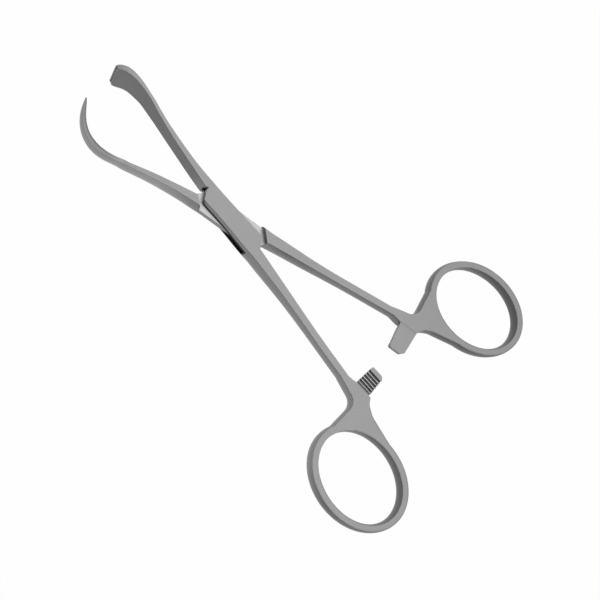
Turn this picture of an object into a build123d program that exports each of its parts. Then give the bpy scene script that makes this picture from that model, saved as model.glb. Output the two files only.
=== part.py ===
"""Towel clamp: two crossed forged halves joined by a box lock, with finger rings and a ratchet.

All sizes are in millimetres. Each half is drawn with the clamp closed and the box centred on
the pivot: +X runs to the jaws, the box half's handle lies on +Y, and Z = 0 is the mid-plane.
Both halves are then turned apart about the pivot, to the part-open pose of the photograph,
and lifted so that the box's underside is at Z = 0.
"""
import math
import os

from build123d import *

# Opening
HALF_TURN = 6.15            # each half turns this far from the drawn pose, degrees

# Box lock
BOX_HALF = 2.62             # half of the box's height
SIDE_BOW = 0.75             # how far the convex sides stand out at mid-height
PLATE_HALF = 1.00           # half the thickness of the plate in the slot
SLIP = 0.07                 # gap between the plate and each cheek
WALL_GAP = 0.12             # gap between the plate's ends and the slot's end walls
PLATE_REACH = 3.28          # half width of the plate
PIN_R = 1.50
PIN_RUN = 0.03              # radial clearance of the plate on the pin
WALL_X = 9.95               # where a slot end wall crosses half of the box's width
WALL_Y = 1.90
WALL_TILT = 36.0            # slot end walls, degrees from Y
CHEEK_TAIL_X = 10.86        # root of the box half's handle, at the cheek's tail corner
CHEEK_NOSE_X = 10.30        # root of the box half's jaw, at the cheek's nose corner
CHEEK_TILT = 31.0           # cheek end faces, degrees from Y
CHEEK_TAIL_Y = -2.35        # where the cheek end faces turn into the cheeks' sides
CHEEK_NOSE_Y = 2.65
CHEEK_ROUND = 0.80
RELIEF_R = 0.35             # relief in the corner between a cheek's nose and the paddle
TAIL_X = 11.30              # root of the inner half's handle
NOSE_X = 11.13              # root of the inner half's jaw
TAIL_TILT = 40.7            # shoulder faces of the inner half, degrees from Y
NOSE_TILT = 43.9
HANDLE_IN = 0.20            # handle's inner face above the centreline at its root
HANDLE_OUT = 3.83           # its outer face, at mid-height
PADDLE_IN = 0.35
PADDLE_OUT = 3.42
TINE_IN = 0.50
TINE_OUT = 3.52
# Width of the box at mid-height, to -Y and to +Y, along X
BOX_SIDES = [(-5.5, 3.30, 3.68), (0.0, 3.32, 3.36), (5.0, 3.32, 3.28)]
BOX_END = 3.28              # its width at either end, on the side with no handle or jaw

# Handle, as inner and outer face at mid-height and the inner face's bow, along X
HANDLE = [
    (-15.0, 0.33, 4.12, 0.45),
    (-21.2, 1.02, 4.46, SIDE_BOW),
    (-29.9, 2.38, 5.14, SIDE_BOW),
    (-38.7, 3.66, 6.16, SIDE_BOW),
    (-47.6, 4.75, 7.27, SIDE_BOW),
    (-54.5, 5.62, 8.10, SIDE_BOW),
]
# Half height of the handle along X
HEIGHTS = [
    (-10.5, 2.66), (-16.9, 2.50), (-21.2, 2.36), (-27.5, 2.08),
    (-34.3, 1.86), (-42.0, 1.74), (-50.8, 1.86), (-58.0, 1.96), (-64.0, 1.97),
]

# Finger rings
RING_X = -72.85
RING_Y = 22.67
RING_A = 14.79              # half axes of the rim's middle line
RING_B = 11.49
RING_TILT = 1.74            # the long axis leans out from -X, degrees
RIM_FLAT = 0.86             # half the flat top of the rim
RIM_BOW = 0.33
RIM_HALF = 1.97
RIM_OVER = 1.1              # rim and neck are drawn this much too high, then cut to height

# Neck between shank and ring, as corners of its top edge
NECK_SHANK = [(-52.4, 5.62), (-48.0, 6.00), (-48.0, 6.35), (-51.0, 7.42)]
# The same, measured from the ring's centre: outer bend first, inner bend last
NECK_RING = [(14.50, -13.37), (14.80, -2.67), (2.85, -0.67), (-2.15, -11.92)]
NECK_BEND = [(8.55, -14.12), (11.45, -15.72)]
NECK_WALL = [(12.57, -17.47), (18.05, -17.47)]
OUTER_BEND_R = 3.2
INNER_BEND_R = 4.0

# Ratchet
TAB_FACE = 0.08             # tooth crests, from the mid-plane
TAB_BACK = 1.82
TAB_WALL = 5.15             # upright wall that a tab stands out from
TAB_TIP = 2.40              # how far a tab crosses the centreline
TAB_ROOT_X = (12.45, 17.90)     # its ring side and jaw side at the root, from the ring's centre
TAB_TIP_X = (12.80, 17.28)      # the same at the tip
TAB_SINK = 1.0              # a tab starts this far inside the neck
TAB_CHAMFER = 0.80          # tip corner on the ring side
TAB_EASE = 0.35             # tip corner on the jaw side
LOWER_DRAFT = 10.0          # the lower tab narrows downward, degrees
UPPER_DRAFT = -6.0          # so does the upper tab, whose back face looks up
FIRST_TOOTH = 3.64          # crest nearest the wall
TOOTH_PITCH = 0.95
TOOTH_LAND = 0.12           # flat on each crest
TOOTH_DEPTH = 0.42
TEETH = 6

# Paddle jaw: middle line, heading, half thickness, half height, outer bow, sideways lean
PADDLE = [
    (13.40, -1.77, -8.0, 1.00, 2.63, 0.66, 0.0),
    (17.60, -2.20, -8.5, 0.79, 2.70, 0.52, 0.0),
    (23.20, -2.98, -9.3, 0.65, 2.70, 0.34, 0.0),
    (28.70, -3.85, -10.0, 0.54, 2.86, 0.25, 0.0),
    (32.70, -4.58, -11.0, 0.47, 3.20, 0.22, 0.0),
    (36.60, -5.33, -9.0, 0.43, 3.74, 0.20, 0.0),
    (39.60, -5.66, -4.0, 0.45, 4.18, 0.18, 0.0),
    (42.60, -5.70, 3.0, 0.57, 4.54, 0.15, -0.02),
    (44.90, -5.25, 18.0, 0.68, 4.80, 0.12, -0.06),
    (46.50, -4.50, 38.0, 0.72, 4.86, 0.10, -0.10),
    (47.45, -3.78, 58.0, 0.66, 4.62, 0.05, -0.13),
    (47.90, -3.12, 70.0, 0.60, 4.25, 0.02, -0.14),
]
PAD_ROUND = 0.9             # corners of the pad
PAD_GROOVES = 8
PAD_PITCH = 0.88
PAD_DEPTH = 0.28
GROOVE_HALF = 0.55          # half width of a groove at the mouth
GROOVE_OVER = 0.3           # how far the cutters stand out of the pad

# Tine jaw: middle line, heading, half flat, half height, side bow; flat on top
TINE = [
    (13.60, 1.99, 7.0, 0.98, 2.62, 0.56),
    (16.40, 2.38, 8.0, 0.84, 2.58, 0.62),
    (21.50, 3.20, 10.0, 0.72, 2.33, 0.58),
    (26.60, 4.24, 12.0, 0.60, 2.15, 0.56),
    (31.60, 5.30, 11.5, 0.58, 1.90, 0.52),
]
# Where the tine turns from flat to round; the last value bows its top
TINE_TURN = (36.63, 6.17, 4.0, 0.74, 1.35, 0.42, 0.25)
# Round end of the tine: middle line, heading, radius
TINE_ROUND = [
    (40.49, 5.72, -17.0, 1.24),
    (43.90, 3.83, -41.0, 1.04),
    (46.60, 0.38, -61.5, 0.76),
    (48.36, -3.70, -71.0, 0.16),
]

# Cutters: beyond every face along X, beyond the sides, and above and below
FAR = 20.0
BESIDE = 8.0
THROUGH = 12.0
SAME = 1e-6                 # points closer than this are one point


def bowed(start, end, sideways, bow):
    """A straight edge, or one bowed sideways by the given height."""
    if bow == 0:
        return Edge.make_line(start, end)
    chord = end - start
    lean = 2 * math.atan(2 * bow / chord.length)
    reach = 4 * bow / (3 * math.sin(lean))
    along = chord.normalized() * math.cos(lean) * reach
    outward = sideways * math.sin(lean) * reach
    return Edge.make_bezier(start, start + along + outward, end - along + outward, end)


def section(x, y, heading, low, high, half, bow_low, bow_high, bow_top=0.0, lean=0.0):
    """Flat-topped section square to a heading; low and high are sideways from (x, y)."""
    turn = math.radians(heading)
    side = Vector(-math.sin(turn), math.cos(turn), 0)
    rise = (Vector(0, 0, 1) + side * lean) * half
    at = Vector(x, y, 0)
    low_top = at + side * low + rise
    high_top = at + side * high + rise
    high_bottom = at + side * high - rise
    low_bottom = at + side * low - rise
    edges = [
        bowed(low_top, high_top, Vector(0, 0, 1), bow_top),
        bowed(high_top, high_bottom, side, bow_high),
        bowed(high_bottom, low_bottom, Vector(0, 0, -1), bow_top),
        bowed(low_bottom, low_top, side * -1, bow_low),
    ]
    return Face(Wire(edges))


def prism(points, half, radius=0.0, corners=()):
    """Upright prism on a plan outline, through the mid-plane, with some corners rounded."""
    plan = rounded(make_face(Polyline(*points, close=True)), radius, corners)
    return extrude(plan, half, both=True)


def rounded(plan, radius, corners):
    """The plan with a fillet at each of the given corners."""
    found = []
    for vertex in plan.vertices():
        here = Vector(vertex.X, vertex.Y)
        if any((here - Vector(*corner)).length < SAME for corner in corners):
            found.append(vertex)
    return fillet(found, radius) if found else plan


def on_line(x, y, tilt, far):
    """Point at height far on a plan line through (x, y) that leans tilt degrees from Y."""
    return (x + (far - y) * math.tan(math.radians(tilt)), far)


def box_body(tail_x, nose_x, nose_out):
    """Box of full height, its handle side on +Y, from the handle's root to the jaw's root."""
    sides = [(-tail_x, BOX_END, HANDLE_OUT)] + BOX_SIDES + [(nose_x, nose_out, BOX_END)]
    return loft([
        section(x, 0, 0, SIDE_BOW - low, high - SIDE_BOW, BOX_HALF, SIDE_BOW, SIDE_BOW)
        for x, low, high in sides
    ])


def handle_shank(root_x):
    """Shank on +Y, drawn at full box height; its height is cut later."""
    rows = [section(-root_x, 0, 0, HANDLE_IN, HANDLE_OUT - SIDE_BOW, BOX_HALF, 0, SIDE_BOW)]
    for x, inner, outer, bow in HANDLE:
        rows.append(section(x, 0, 0, inner + bow, outer - SIDE_BOW, BOX_HALF, bow, SIDE_BOW))
    return loft(rows)


def neck():
    """Web that carries the shank into the ring."""
    outer, first, second, rim = [(RING_X + x, RING_Y + y) for x, y in NECK_RING]
    bend = [(RING_X + x, RING_Y + y) for x, y in NECK_BEND]
    wall = [(RING_X + x, RING_Y + y) for x, y in NECK_WALL]
    outline = make_face(Polyline(*NECK_SHANK, outer, first, second, rim, *bend, *wall, close=True))
    outline = rounded(outline, OUTER_BEND_R, [outer])
    outline = rounded(outline, INNER_BEND_R, bend)
    level, edge = rim_over()
    narrow = offset(outline, edge, kind=Kind.INTERSECTION)
    wide = offset(outline, RIM_BOW, kind=Kind.INTERSECTION)
    return loft([Pos(0, 0, -level) * narrow, wide, Pos(0, 0, level) * narrow])


def rim_over():
    """Height at which rim and neck are drawn, and where their bowed sides are at that height."""
    return RIM_HALF * RIM_OVER, RIM_BOW * (1 - RIM_OVER ** 2)


def ring_solid(side):
    """Barrel-sided ellipse: the outside of the rim for side +1, its opening for side -1."""
    level, edge = rim_over()
    slim = side * (RIM_FLAT + edge)
    full = side * (RIM_FLAT + RIM_BOW)
    place = Pos(RING_X, RING_Y, 0) * Rot(0, 0, -RING_TILT)
    return loft([
        place * Pos(0, 0, -level) * Ellipse(RING_A + slim, RING_B + slim),
        place * Ellipse(RING_A + full, RING_B + full),
        place * Pos(0, 0, level) * Ellipse(RING_A + slim, RING_B + slim),
    ])


def height_mask():
    """Side view of the handle: high at the box, low along the shank, level at the ring."""
    top = Spline(*[(x, 0, z) for x, z in HEIGHTS])
    bottom = Spline(*[(x, 0, -z) for x, z in HEIGHTS])
    near, far = HEIGHTS[0], HEIGHTS[-1]
    end_x = RING_X - RING_A - FAR
    outline = make_face([
        top,
        Line((far[0], 0, far[1]), (end_x, 0, far[1])),
        Line((end_x, 0, far[1]), (end_x, 0, -far[1])),
        Line((end_x, 0, -far[1]), (far[0], 0, -far[1])),
        bottom,
        Line((near[0], 0, -near[1]), (near[0], 0, near[1])),
    ])
    return extrude(outline, RING_Y + RING_B + FAR, dir=(0, 1, 0), both=True)


def root_wall():
    """Cutter that leaves an upright wall where the tab stands out of the neck."""
    ring_x, jaw_x = RING_X + TAB_ROOT_X[0] - FAR / 10, RING_X + TAB_ROOT_X[1]
    return prism([
        (ring_x, TAB_WALL), (jaw_x, TAB_WALL), (jaw_x + SIDE_BOW, TAB_WALL - SIDE_BOW),
        (jaw_x + SIDE_BOW, -BESIDE), (ring_x, -BESIDE),
    ], THROUGH)


def tooth_gaps():
    """Side view, in Y and Z, of the gap before each tooth, with its steep side on the left."""
    floor, mouth = -TAB_FACE - TOOTH_DEPTH, TOOTH_DEPTH
    start = TAB_WALL + TAB_SINK
    gaps = [[(start, mouth), (start, floor), (FIRST_TOOTH, floor), (FIRST_TOOTH, mouth)]]
    for tooth in range(1, TEETH):
        crest = FIRST_TOOTH - tooth * TOOTH_PITCH
        start = crest + TOOTH_PITCH - TOOTH_LAND
        gaps.append([(start, mouth), (start, -TAB_FACE), (crest, floor), (crest, mouth)])
    return gaps


def ratchet_tab(draft):
    """Tab of the box half: on the lower side, its teeth looking up at the other tab."""
    ring_root, jaw_root = [RING_X + x for x in TAB_ROOT_X]
    ring_tip, jaw_tip = [RING_X + x for x in TAB_TIP_X]
    plan = make_face(Polyline(
        (jaw_root, TAB_WALL + TAB_SINK), (jaw_tip, TAB_EASE - TAB_TIP), (jaw_tip - TAB_EASE, -TAB_TIP),
        (ring_tip + TAB_CHAMFER, -TAB_TIP), (ring_tip, TAB_CHAMFER - TAB_TIP),
        (ring_root, TAB_WALL + TAB_SINK), close=True))
    tab = extrude(Pos(0, 0, -TAB_FACE) * plan, TAB_BACK - TAB_FACE, dir=(0, 0, -1), taper=draft)
    for gap in tooth_gaps():
        face = make_face(Polyline(*[(RING_X + FAR, y, z) for y, z in gap], close=True))
        tab = tab - extrude(face, FAR, dir=(-1, 0, 0))
    return tab


def handle(root_x, draft):
    """Shank, neck, ring and tab of the box half; the inner half uses its mirror image."""
    body = handle_shank(root_x) + neck() + ring_solid(1)
    body = body & height_mask()
    body = body - ring_solid(-1) - root_wall()
    return body + ratchet_tab(draft)


def paddle():
    """Flat widening jaw that curls in to a grooved end pad."""
    rows = [section(CHEEK_NOSE_X, 0, 0, SIDE_BOW - PADDLE_OUT, -PADDLE_IN, BOX_HALF, SIDE_BOW, 0)]
    for x, y, heading, thin, half, bow, lean in PADDLE:
        rows.append(section(x, y, heading, -thin, thin, half, bow, 0, 0, lean))
    jaw = loft(rows)
    end = min(jaw.faces(), key=lambda f: (f.center() - Vector(x, y, 0)).length)
    jaw = fillet([e for e in end.edges() if abs(e.center().Z) > half - thin], PAD_ROUND)
    place = Pos(x, y, 0) * Rot(0, 0, heading)
    mouth, floor = GROOVE_OVER, -PAD_DEPTH
    groove = make_face(Polyline(
        (mouth, 0, GROOVE_HALF), (floor, 0, 0), (mouth, 0, -GROOVE_HALF), close=True))
    groove = extrude(groove, 4 * thin, dir=(0, 1, 0), both=True)
    for row in range(PAD_GROOVES):
        jaw = jaw - place * Pos(0, 0, (row - (PAD_GROOVES - 1) / 2) * PAD_PITCH) * groove
    lengthwise = make_face(Polyline(
        (mouth, GROOVE_HALF), (floor, 0), (mouth, -GROOVE_HALF), close=True))
    return jaw - place * Rot(math.degrees(math.atan(-lean)), 0, 0) * extrude(lengthwise, THROUGH, both=True)


def tine():
    """Curved jaw: box-high at its root, round and then pointed at its end."""
    rows = [section(NOSE_X, 0, 0, TINE_IN, TINE_OUT - SIDE_BOW, BOX_HALF, 0, SIDE_BOW)]
    for x, y, heading, flat, half, bow in TINE:
        rows.append(section(x, y, heading, -flat, flat, half, bow, bow))
    x, y, heading, flat, half, bow, top = TINE_TURN
    ends = [rows[-1], section(x, y, heading, -flat, flat, half, bow, bow, top)]
    for x, y, heading, radius in TINE_ROUND:
        flat = radius * math.sqrt(0.5)
        ends.append(section(x, y, heading, -flat, flat, flat, radius - flat, radius - flat, radius - flat))
    return loft(rows) + loft(ends)


def slot_plan(gap):
    """Corners of the slot between its end walls, which a turn of half a circle exchanges."""
    wall_x = WALL_X - gap / math.cos(math.radians(WALL_TILT))
    upper = on_line(-wall_x, WALL_Y, WALL_TILT, BESIDE)
    lower = on_line(-wall_x, WALL_Y, WALL_TILT, -BESIDE)
    return [upper, lower, (-upper[0], -upper[1]), (-lower[0], -lower[1])]


def cheek_plan():
    """Outline of the cheeks, their two rounded ends, and room beside them for handle and jaw."""
    tail = (-CHEEK_TAIL_X, HANDLE_IN)
    nose = (CHEEK_NOSE_X, -PADDLE_IN)
    tail_end = on_line(*tail, -CHEEK_TILT, CHEEK_TAIL_Y)
    nose_end = on_line(*nose, -CHEEK_TILT, CHEEK_NOSE_Y)
    outline = [
        (-FAR, tail[1]), tail, tail_end, (0, -BESIDE), (FAR, -BESIDE),
        (FAR, nose[1]), nose, nose_end, (0, BESIDE), (-FAR, BESIDE),
    ]
    return outline, [tail_end, nose_end]


def box_half():
    """Box with two cheeks and a slot, one handle, and the paddle jaw."""
    outline, ends = cheek_plan()
    body = box_body(CHEEK_TAIL_X, CHEEK_NOSE_X, PADDLE_OUT) & prism(outline, THROUGH, CHEEK_ROUND, ends)
    body = body + handle(CHEEK_TAIL_X, LOWER_DRAFT) + paddle()
    body = body - prism(slot_plan(0.0), PLATE_HALF + SLIP)
    body = body - Pos(CHEEK_NOSE_X, -PADDLE_IN, 0) * Cylinder(RELIEF_R, 2 * THROUGH)
    return body - Cylinder(PIN_R, 2 * THROUGH)


def inner_half():
    """Plate that fills the slot, with shoulders at both ends, one handle and the tine jaw."""
    tail = (-TAIL_X, HANDLE_IN)
    nose = (NOSE_X, -TINE_IN)
    behind = prism([(-FAR, tail[1]), tail, on_line(*tail, TAIL_TILT, BESIDE), (-FAR, BESIDE)], THROUGH)
    ahead = prism([(FAR, nose[1]), nose, on_line(*nose, NOSE_TILT, -BESIDE), (FAR, -BESIDE)], THROUGH)
    whole = box_body(TAIL_X, NOSE_X, TINE_OUT)
    slot = mirror(prism(slot_plan(WALL_GAP), PLATE_HALF), Plane.XZ)
    plate = whole & slot & Box(4 * TAIL_X, 2 * PLATE_REACH, 2 * PLATE_HALF)
    body = (whole & behind) + (whole & ahead) + plate
    body = body + mirror(handle(TAIL_X, UPPER_DRAFT), Plane.XY) + mirror(tine(), Plane.XZ)
    body = body - Cylinder(PIN_R + PIN_RUN, 2 * THROUGH)
    return mirror(body, Plane.XZ)


def pivot_pin():
    """Plain pin, held by both cheeks and flush with them."""
    return Cylinder(PIN_R, 2 * BOX_HALF)


def main():
    os.makedirs("parts", exist_ok=True)
    nodes = {
        "box_half": Pos(0, 0, BOX_HALF) * Rot(0, 0, -HALF_TURN) * box_half(),
        "inner_half": Pos(0, 0, BOX_HALF) * Rot(0, 0, HALF_TURN) * inner_half(),
        "pivot_pin": Pos(0, 0, BOX_HALF) * pivot_pin(),
    }
    for name, solid in nodes.items():
        print(name, len(solid.solids()), round(solid.volume, 2), solid.is_valid)
        export_step(solid, "parts/" + name + ".step")


main()
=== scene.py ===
"""Looks of the towel clamp: satin steel on a white table, seen as in the photograph."""
import math

import bpy
from mathutils import Matrix, Vector


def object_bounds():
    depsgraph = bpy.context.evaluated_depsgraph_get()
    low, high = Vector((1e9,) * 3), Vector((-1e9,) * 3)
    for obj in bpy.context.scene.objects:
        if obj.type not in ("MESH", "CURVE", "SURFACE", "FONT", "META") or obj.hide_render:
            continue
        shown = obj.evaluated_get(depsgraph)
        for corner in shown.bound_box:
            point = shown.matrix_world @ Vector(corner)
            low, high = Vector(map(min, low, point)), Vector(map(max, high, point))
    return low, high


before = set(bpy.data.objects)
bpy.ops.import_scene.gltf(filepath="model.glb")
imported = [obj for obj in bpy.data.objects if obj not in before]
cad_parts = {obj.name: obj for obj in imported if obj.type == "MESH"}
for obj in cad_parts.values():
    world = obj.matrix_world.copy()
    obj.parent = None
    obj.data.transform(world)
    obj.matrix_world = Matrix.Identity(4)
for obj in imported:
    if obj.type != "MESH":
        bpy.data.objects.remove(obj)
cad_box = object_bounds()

# Camera of the photograph, in the part's frame, metres
CAMERA_AT = (0.03699, 0.13134, 0.30460)
CAMERA_RIGHT = (-0.728205, -0.560479, 0.394420)
CAMERA_UP = (0.657070, -0.734560, 0.169310)
CAMERA_BACK = (0.194834, 0.382449, 0.903200)
LENS = 75.09
SENSOR = 36.0
CLIP_START = 0.01

# Light, as strengths that render a colour about as it is written
WORLD_FILL = 0.20
KEY_WATTS = 0.80
KEY_AT = (-0.10, -0.12, 0.60)
KEY_SIZE = 0.45
FILL_WATTS = 0.10
FILL_AT = (0.30, 0.45, 0.35)
FILL_SIZE = 0.40
LAMPS_TOWARDS = (-0.02, 0.0, 0.0)

# White table
FLOOR_SIZE = 4.0
FLOOR_GAP = 0.0001
FLOOR_GREY = 0.86
FLOOR_ROUGHNESS = 0.9
FLOOR_SHARE = 0.985         # part of the floor's look that is plain white; the rest is its shadow
WHITE = (1, 1, 1, 1)

# Satin steel
STEEL = (0.342, 0.342, 0.340)
STEEL_METALLIC = 0.45
STEEL_ROUGHNESS = 0.40
ROUGHNESS_SPREAD = 0.06
GRAIN_SCALE = 2600.0
GRAIN_DETAIL = 3.0
GRAIN_STRENGTH = 0.25
GRAIN_DEPTH = 0.00002
CLOUD_SCALE = 120.0
CLOUD_DETAIL = 4.0
CLOUD_SPREAD = 0.06
EDGE_RADIUS = 0.00018
WIDE_RADIUS = 0.00060       # for the rings' rims and the painted dark lines and highlights at edges
SHARP_ANGLE = math.radians(28)
# Painted shade in crevices and where parts meet, by ambient occlusion
CREVICE_SHADE_REACH = 0.0007            # how near a surface must be to paint shade on another
CREVICE_SHADE_TONE = 0.30
CREVICE_SHADE_SAMPLES = 8

# Painted shade of upright walls against flats, lighter than flats where above 1, as (X in metres,
# tone) from the rings to the jaws
WALL_SHADE_TONES = {
    "box_half": [
        (-0.066, 0.44), (-0.056, 0.88), (0.008, 0.93),
        (0.016, 0.46), (0.036, 0.40), (0.046, 0.58),
    ],
    "inner_half": [
        (-0.066, 0.34), (-0.056, 0.58), (-0.045, 0.68),
        (-0.020, 0.80), (0.010, 0.92), (0.020, 1.36),
    ],
    "pivot_pin": [(0.0, 0.80)],
}
RAMP_END = 0.1              # the tones run from -RAMP_END to RAMP_END along X
WALL_LEAN = 0.55            # a face is a wall if its normal points up or down less than this
FLAT_LEAN = 0.85            # and a flat if it does so more than this

# Painted dark line of shade under the top edges, and painted highlight on the rim above it
EDGE_GAIN = 8.0
EDGE_SHADE = 0.60
EDGE_HIGHLIGHT = 0.16

# From here out the rings' rims are shaded as if rounded over, by the wide soft-edge normal and the
# painted wall shade
RING_FROM = -0.0600

# Top of the necks and tabs, where walls keep the flats' tone
RIM_TOP = 0.00441
NECK_MIDDLE = -0.0572
NECK_REACH = 0.0036

# Box lock, as the CAD builds it
MID_PLANE = 0.00262
PLATE_HALF = 0.00100
SLOT_HALF = 0.00107
LOCK_REACH = 0.0130
PIN_ZONE = 0.0023
# Painted highlight on the plate, painted shade in the slot, and a painted shadow line along the
# slot's mouth
PLATE_HIGHLIGHT_TONE = 1.78
SLOT_SHADE_TONE = 0.08
SLOT_SHADOW_SPILL = 0.00055         # how far the painted shadow line goes past the slot
SLOT_SHADOW_TONE = 0.05
SLOT_SHADOW_REACH = 0.0086

# How well a face must fit to be picked for a painted highlight or shade of its own
NEAR_PLANE = 0.00003
LEVEL = 0.9                 # part of its normal along the named axis
SLOT_END_FACING = 0.55

# Ratchet teeth of the box half: slopes get painted shade, as they look away from the light; crests
# and steep faces get a painted highlight
TEETH_ZONE = (-0.062, -0.052)
CREST_DROP = 0.00008        # crests, under the mid-plane
STEEP_DROP = 0.0006         # lowest middle of a steep face
SLOPE_DROPS = (0.0001, 0.0007)
SLOPE_END = 0.0125
SLOPE_FACING = 0.5
CREST_FACING = 0.97
CREST_SPAN = (-0.0010, 0.0043)      # across the tab, with the half turned back to its drawn place
HALF_TURN = math.radians(6.15)
SLOPE_SHADE_TONE = 0.62
CREST_HIGHLIGHT_TONE = 2.70

# Lands between the grooves at the paddle's tip, which get a painted highlight: where they start,
# and the way they face as a unit normal
PAD_FROM = (0.0455, -0.0092)
PAD_FACING = ((0.20, 0.62), (0.60, 1.00), (-0.30, 0.30))
PAD_HIGHLIGHT_TONE = 4.20


def put_camera():
    """The photograph's camera, fitted to the clamp's outline."""
    data = bpy.data.cameras.new("camera")
    data.lens = LENS
    data.sensor_width = SENSOR
    data.clip_start = CLIP_START
    camera = bpy.data.objects.new("camera", data)
    bpy.context.scene.collection.objects.link(camera)
    turn = Matrix((CAMERA_RIGHT, CAMERA_UP, CAMERA_BACK)).transposed()
    camera.matrix_world = Matrix.Translation(CAMERA_AT) @ turn.to_4x4()
    bpy.context.scene.camera = camera


def node_in(tree, kind, **inputs):
    """New shader node with the given input values."""
    made = tree.nodes.new(kind)
    for name, value in inputs.items():
        made.inputs[name.replace("_", " ")].default_value = value
    return made


def noise(tree, source, scale, detail):
    """Noise over the part's own coordinates."""
    made = node_in(tree, "ShaderNodeTexNoise", Scale=scale, Detail=detail)
    tree.links.new(source.outputs["Object"], made.inputs["Vector"])
    return made


def spread(tree, source, low, high):
    """Maps a value from 0..1 to low..high."""
    made = tree.nodes.new("ShaderNodeMapRange")
    made.inputs["To Min"].default_value = low
    made.inputs["To Max"].default_value = high
    tree.links.new(source, made.inputs["Value"])
    return made.outputs["Result"]


def times(tree, first, second):
    """Product of two values."""
    made = tree.nodes.new("ShaderNodeMath")
    made.operation = "MULTIPLY"
    for slot, value in enumerate((first, second)):
        if isinstance(value, float):
            made.inputs[slot].default_value = value
        else:
            tree.links.new(value, made.inputs[slot])
    return made.outputs[0]


def ramp(tree, source, stops):
    """Grey value by a list of (place, value) stops."""
    made = tree.nodes.new("ShaderNodeValToRGB")
    band = made.color_ramp
    while len(band.elements) < len(stops):
        band.elements.new(0.5)
    for element, (place, value) in zip(band.elements, stops):
        element.position = place
        element.color = (value, value, value, 1)
    tree.links.new(source, made.inputs["Fac"])
    return made.outputs["Color"]


def between(tree, source, start, end, low, high, kind="SMOOTHSTEP"):
    """Maps a value that runs from start to end to low..high, smoothly or in a straight line."""
    made = tree.nodes.new("ShaderNodeMapRange")
    made.interpolation_type = kind
    for name, value in (("From Min", start), ("From Max", end), ("To Min", low), ("To Max", high)):
        made.inputs[name].default_value = value
    tree.links.new(source, made.inputs["Value"])
    return made.outputs["Result"]


def compared(tree, source, kind, limit):
    """1 where a value is beyond a limit, by GREATER_THAN or LESS_THAN."""
    made = tree.nodes.new("ShaderNodeMath")
    made.operation = kind
    made.inputs[1].default_value = limit
    tree.links.new(source, made.inputs[0])
    return made.outputs[0]


def mixed(tree, share, first, second, kind="FLOAT"):
    """Mix of two values or colours, each a constant or a socket."""
    made = tree.nodes.new("ShaderNodeMix")
    made.data_type = kind
    tree.links.new(share, made.inputs["Factor"])
    for slot, value in (("A", first), ("B", second)):
        if isinstance(value, float):
            made.inputs[slot].default_value = value
        else:
            tree.links.new(value, made.inputs[slot])
    return made.outputs["Result"]


def axes(tree, source):
    """The three parts of a vector, by name."""
    made = tree.nodes.new("ShaderNodeSeparateXYZ")
    tree.links.new(source, made.inputs[0])
    return made.outputs


def away_from(tree, source, centre):
    """Distance of a value from a constant."""
    shifted = tree.nodes.new("ShaderNodeMath")
    shifted.operation = "SUBTRACT"
    shifted.inputs[1].default_value = centre
    tree.links.new(source, shifted.inputs[0])
    made = tree.nodes.new("ShaderNodeMath")
    made.operation = "ABSOLUTE"
    tree.links.new(shifted.outputs[0], made.inputs[0])
    return made.outputs[0]


def flatness(tree, normal):
    """1 on faces that look straight up or down, 0 on walls."""
    upward = away_from(tree, axes(tree, normal)["Z"], 0.0)
    return between(tree, upward, WALL_LEAN, FLAT_LEAN, 0.0, 1.0)


def lean_shade_and_highlight(tree, where, flat, wall_shade, line):
    """Painted shade by how a face leans: full on flats, the wall's painted shade upright, a painted
    dark line and a painted highlight at edges.
    """
    stops = [((x + RAMP_END) / (2 * RAMP_END), tone) for x, tone in wall_shade]
    along = between(tree, where["X"], -RAMP_END, RAMP_END, 0.0, 1.0, "LINEAR")
    upright = times(tree, ramp(tree, along, stops), spread(tree, line, 1.0, 1.0 - EDGE_SHADE))
    return mixed(tree, flat, upright, spread(tree, line, 1.0, 1.0 + EDGE_HIGHLIGHT))


def edge_line(tree, edge, plain):
    """1 on an edge, falling to 0 at the soft edge's radius."""
    dot = tree.nodes.new("ShaderNodeVectorMath")
    dot.operation = "DOT_PRODUCT"
    tree.links.new(edge, dot.inputs[0])
    tree.links.new(plain, dot.inputs[1])
    return between(tree, dot.outputs["Value"], 1.0 - 1.0 / EDGE_GAIN, 1.0, 1.0, 0.0, "LINEAR")


def bevel(tree, radius):
    """Normal with edges softened over a radius."""
    made = tree.nodes.new("ShaderNodeBevel")
    made.inputs["Radius"].default_value = radius
    return made.outputs["Normal"]


def off_pin(tree, place):
    """0 at the pin, which is ground flush, and 1 beyond it."""
    level = tree.nodes.new("ShaderNodeVectorMath")
    level.operation = "MULTIPLY"
    level.inputs[1].default_value = (1, 1, 0)
    tree.links.new(place.outputs["Object"], level.inputs[0])
    away = tree.nodes.new("ShaderNodeVectorMath")
    away.operation = "LENGTH"
    tree.links.new(level.outputs["Vector"], away.inputs[0])
    return compared(tree, away.outputs["Value"], "GREATER_THAN", PIN_ZONE)


def slot_shadow_line(tree, where):
    """Painted shadow line along the slot's mouth, within the box."""
    off = away_from(tree, where["Z"], MID_PLANE)
    low = compared(tree, off, "LESS_THAN", SLOT_HALF + SLOT_SHADOW_SPILL)
    near = compared(tree, away_from(tree, where["X"], 0.0), "LESS_THAN", SLOT_SHADOW_REACH)
    return spread(tree, times(tree, low, near), 1.0, SLOT_SHADOW_TONE)


def rim_top(tree, where):
    """1 on the uppermost part of necks and tabs, where a tab's back meets the neck."""
    high = compared(tree, where["Z"], "GREATER_THAN", RIM_TOP)
    neck = compared(tree, away_from(tree, where["X"], NECK_MIDDLE), "LESS_THAN", NECK_REACH)
    return times(tree, high, neck)


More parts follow.
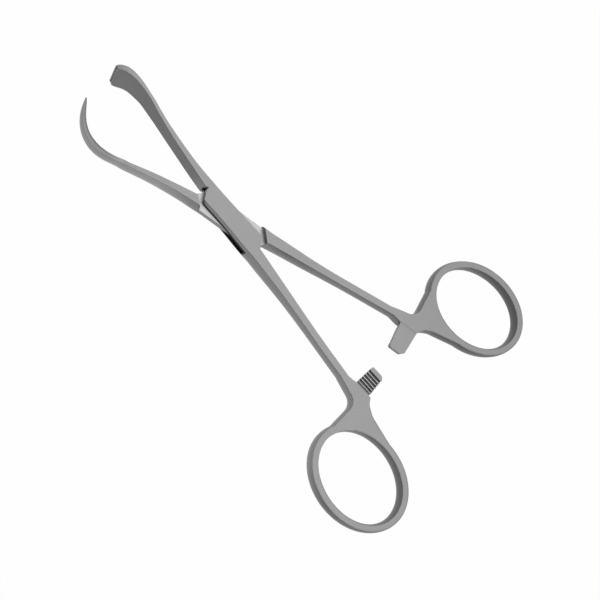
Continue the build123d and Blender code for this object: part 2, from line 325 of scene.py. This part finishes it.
def satin_steel(name, tone, wall_shade, slot_shadowed):
    """Bead-blasted stainless steel: fine grain, soft clouds of tone, soft edges, with painted shade
    in crevices and on walls, painted dark lines and highlights at edges, and a painted shadow line
    at the slot where asked.
    """
    material = bpy.data.materials.new(name)
    material.use_nodes = True
    tree = material.node_tree
    shader = tree.nodes["Principled BSDF"]
    shader.inputs["Metallic"].default_value = STEEL_METALLIC
    place = tree.nodes.new("ShaderNodeTexCoord")
    plain = tree.nodes.new("ShaderNodeNewGeometry").outputs["Normal"]
    where = axes(tree, place.outputs["Object"])
    rim = compared(tree, where["X"], "LESS_THAN", RING_FROM)
    beyond = off_pin(tree, place)
    wide = mixed(tree, beyond, plain, bevel(tree, WIDE_RADIUS), "VECTOR")
    narrow = mixed(tree, beyond, plain, bevel(tree, EDGE_RADIUS), "VECTOR")
    edge = mixed(tree, rim, narrow, wide, "VECTOR")
    grain = noise(tree, place, GRAIN_SCALE, GRAIN_DETAIL)
    cloud = noise(tree, place, CLOUD_SCALE, CLOUD_DETAIL)

    crevice_shade = tree.nodes.new("ShaderNodeAmbientOcclusion")
    crevice_shade.inputs["Distance"].default_value = CREVICE_SHADE_REACH
    crevice_shade.samples = CREVICE_SHADE_SAMPLES
    shade = spread(tree, crevice_shade.outputs["AO"], CREVICE_SHADE_TONE, 1.0)
    flat = flatness(tree, mixed(tree, rim, plain, wide, "VECTOR"))
    lean = lean_shade_and_highlight(tree, where, flat, wall_shade, edge_line(tree, wide, plain))
    shade = times(tree, shade, lean)
    if slot_shadowed:
        shade = times(tree, shade, slot_shadow_line(tree, where))
    top = rim_top(tree, where)
    shade = mixed(tree, top, shade, 1.0)
    clouds = spread(tree, cloud.outputs["Fac"], 1 - CLOUD_SPREAD, 1 + CLOUD_SPREAD)
    shade = times(tree, times(tree, shade, clouds), tone)
    colour = tree.nodes.new("ShaderNodeVectorMath")
    colour.operation = "SCALE"
    colour.inputs[0].default_value = STEEL
    tree.links.new(shade, colour.inputs["Scale"])
    tree.links.new(colour.outputs["Vector"], shader.inputs["Base Color"])

    smooth, coarse = STEEL_ROUGHNESS - ROUGHNESS_SPREAD, STEEL_ROUGHNESS + ROUGHNESS_SPREAD
    rough = spread(tree, grain.outputs["Fac"], smooth, coarse)
    tree.links.new(rough, shader.inputs["Roughness"])
    bump = node_in(tree, "ShaderNodeBump", Strength=GRAIN_STRENGTH, Distance=GRAIN_DEPTH)
    tree.links.new(grain.outputs["Fac"], bump.inputs["Height"])
    tree.links.new(edge, bump.inputs["Normal"])
    upward = node_in(tree, "ShaderNodeCombineXYZ", Z=1.0).outputs[0]
    level = mixed(tree, top, bump.outputs["Normal"], upward, "VECTOR")
    tree.links.new(level, shader.inputs["Normal"])
    return material


def in_lock(face):
    """Whether a face lies at the box lock, and how far it is from the mid-plane."""
    x, y, z = face.center
    return math.hypot(x, y) < LOCK_REACH, abs(z - MID_PLANE)


def is_highlit_plate_face(face):
    """Flat faces of the inner half where it runs between the cheeks, given a painted highlight."""
    near, off = in_lock(face)
    return near and abs(off - PLATE_HALF) < NEAR_PLANE and abs(face.normal.z) > LEVEL


def is_shaded_slot_face(face):
    """Faces inside the box half's slot, given painted shade: both cheeks' inner faces and the end
    walls.
    """
    near, off = in_lock(face)
    flat = abs(off - SLOT_HALF) < NEAR_PLANE and abs(face.normal.z) > LEVEL
    end = off < SLOT_HALF and abs(face.normal.x) > SLOT_END_FACING
    return near and (flat or end)


def is_shaded_tooth_slope(face):
    """Long slopes of the lower tab's teeth, and the floor of its first gap, given painted shade."""
    x, y, z = face.center
    in_zone = TEETH_ZONE[0] < x < TEETH_ZONE[1] and y < SLOPE_END
    low = SLOPE_DROPS[0] < MID_PLANE - z < SLOPE_DROPS[1]
    return in_zone and low and face.normal.z > SLOPE_FACING


def is_highlit_tooth_crest(face):
    """Narrow flats of the teeth's crests and the steep faces before them, given a painted
    highlight.
    """
    x, y, z = face.center
    across = x * math.sin(HALF_TURN) + y * math.cos(HALF_TURN)
    in_zone = TEETH_ZONE[0] < x < TEETH_ZONE[1] and CREST_SPAN[0] < across < CREST_SPAN[1]
    flat = abs(MID_PLANE - z - CREST_DROP) < NEAR_PLANE and face.normal.z > CREST_FACING
    steep = 0 < MID_PLANE - z < STEEP_DROP and face.normal.y > LEVEL
    return in_zone and (flat or steep)


def is_highlit_pad_land(face):
    """Lands between the grooves at the paddle's tip, given a painted highlight."""
    x, y, z = face.center
    facing = all(low < part < high for part, (low, high) in zip(face.normal, PAD_FACING))
    return x > PAD_FROM[0] and y > PAD_FROM[1] and facing


def dress():
    """Gives every CAD piece its steel, lighter or darker copies of it as painted highlight and
    shade on chosen faces, and smooth shading up to its real edges.
    """
    # Faces that get painted shade (slot, tooth slopes) or a painted highlight (crests, the paddle's
    # lands, the inner half's running faces)
    painted_light_faces = {
        "box_half": [
            ("slot", SLOT_SHADE_TONE, is_shaded_slot_face),
            ("slope_shade", SLOPE_SHADE_TONE, is_shaded_tooth_slope),
            ("crest_highlight", CREST_HIGHLIGHT_TONE, is_highlit_tooth_crest),
            ("pad_highlight", PAD_HIGHLIGHT_TONE, is_highlit_pad_land),
        ],
        "inner_half": [("plate_highlight", PLATE_HIGHLIGHT_TONE, is_highlit_plate_face)],
        "pivot_pin": [],
    }
    for name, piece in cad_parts.items():
        piece.data.materials.clear()
        wall_shade = WALL_SHADE_TONES[name]
        piece.data.materials.append(satin_steel("steel_" + name, 1.0, wall_shade, name == "box_half"))
        for part, tone, chosen in painted_light_faces[name]:
            slot = len(piece.data.materials)
            piece.data.materials.append(satin_steel("steel_" + part, tone, wall_shade, False))
            for face in piece.data.polygons:
                if chosen(face):
                    face.material_index = slot
        for face in piece.data.polygons:
            face.use_smooth = True
        piece.data.set_sharp_from_angle(angle=SHARP_ANGLE)


def white_to_eye(tree, lit, share):
    """Mixes a surface or background with plain white for camera, glossy and transmission rays."""
    path = tree.nodes.new("ShaderNodeLightPath")
    seen = path.outputs["Is Camera Ray"]
    for kind in ("Is Glossy Ray", "Is Transmission Ray"):
        either = tree.nodes.new("ShaderNodeMath")
        either.operation = "MAXIMUM"
        tree.links.new(seen, either.inputs[0])
        tree.links.new(path.outputs[kind], either.inputs[1])
        seen = either.outputs[0]
    mix = tree.nodes.new("ShaderNodeMixShader")
    tree.links.new(times(tree, seen, share), mix.inputs["Fac"])
    tree.links.new(lit.outputs[0], mix.inputs[1])
    return mix


def put_world():
    """Soft white room: full white to the eye and to reflections, a plain fill to the rest."""
    world = bpy.data.worlds.new("room")
    bpy.context.scene.world = world
    world.use_nodes = True
    tree = world.node_tree
    fill = tree.nodes["Background"]
    fill.inputs["Color"].default_value = WHITE
    fill.inputs["Strength"].default_value = WORLD_FILL
    white = node_in(tree, "ShaderNodeBackground", Color=WHITE, Strength=1.0)
    mix = white_to_eye(tree, fill, 1.0)
    tree.links.new(white.outputs[0], mix.inputs[2])
    tree.links.new(mix.outputs[0], tree.nodes["World Output"].inputs["Surface"])


def put_floor():
    """White table under the clamp's lowest point; it keeps a faint shadow."""
    low = cad_box[0][2]
    bpy.ops.mesh.primitive_plane_add(size=FLOOR_SIZE, location=(0, 0, low - FLOOR_GAP))
    floor = bpy.context.object
    floor.name = "floor"
    material = bpy.data.materials.new("table_white")
    material.use_nodes = True
    tree = material.node_tree
    shader = tree.nodes["Principled BSDF"]
    shader.inputs["Base Color"].default_value = (FLOOR_GREY, FLOOR_GREY, FLOOR_GREY, 1)
    shader.inputs["Roughness"].default_value = FLOOR_ROUGHNESS
    shader.inputs["Specular IOR Level"].default_value = 0.0
    white = node_in(tree, "ShaderNodeEmission", Color=WHITE, Strength=1.0)
    mix = white_to_eye(tree, shader, FLOOR_SHARE)
    tree.links.new(white.outputs[0], mix.inputs[2])
    tree.links.new(mix.outputs[0], tree.nodes["Material Output"].inputs["Surface"])
    floor.data.materials.append(material)


def put_lamp(name, at, towards, size, watts):
    """Large square lamp at a point, facing another."""
    data = bpy.data.lights.new(name, "AREA")
    data.size = size
    data.energy = watts
    lamp = bpy.data.objects.new(name, data)
    bpy.context.scene.collection.objects.link(lamp)
    lamp.location = at
    aim = Vector(towards) - Vector(at)
    lamp.rotation_euler = aim.to_track_quat("-Z", "Y").to_euler()


put_camera()
dress()
put_world()
put_floor()
put_lamp("key", KEY_AT, LAMPS_TOWARDS, KEY_SIZE, KEY_WATTS)
put_lamp("fill", FILL_AT, LAMPS_TOWARDS, FILL_SIZE, FILL_WATTS)

bpy.context.scene.view_settings.view_transform = "Standard"
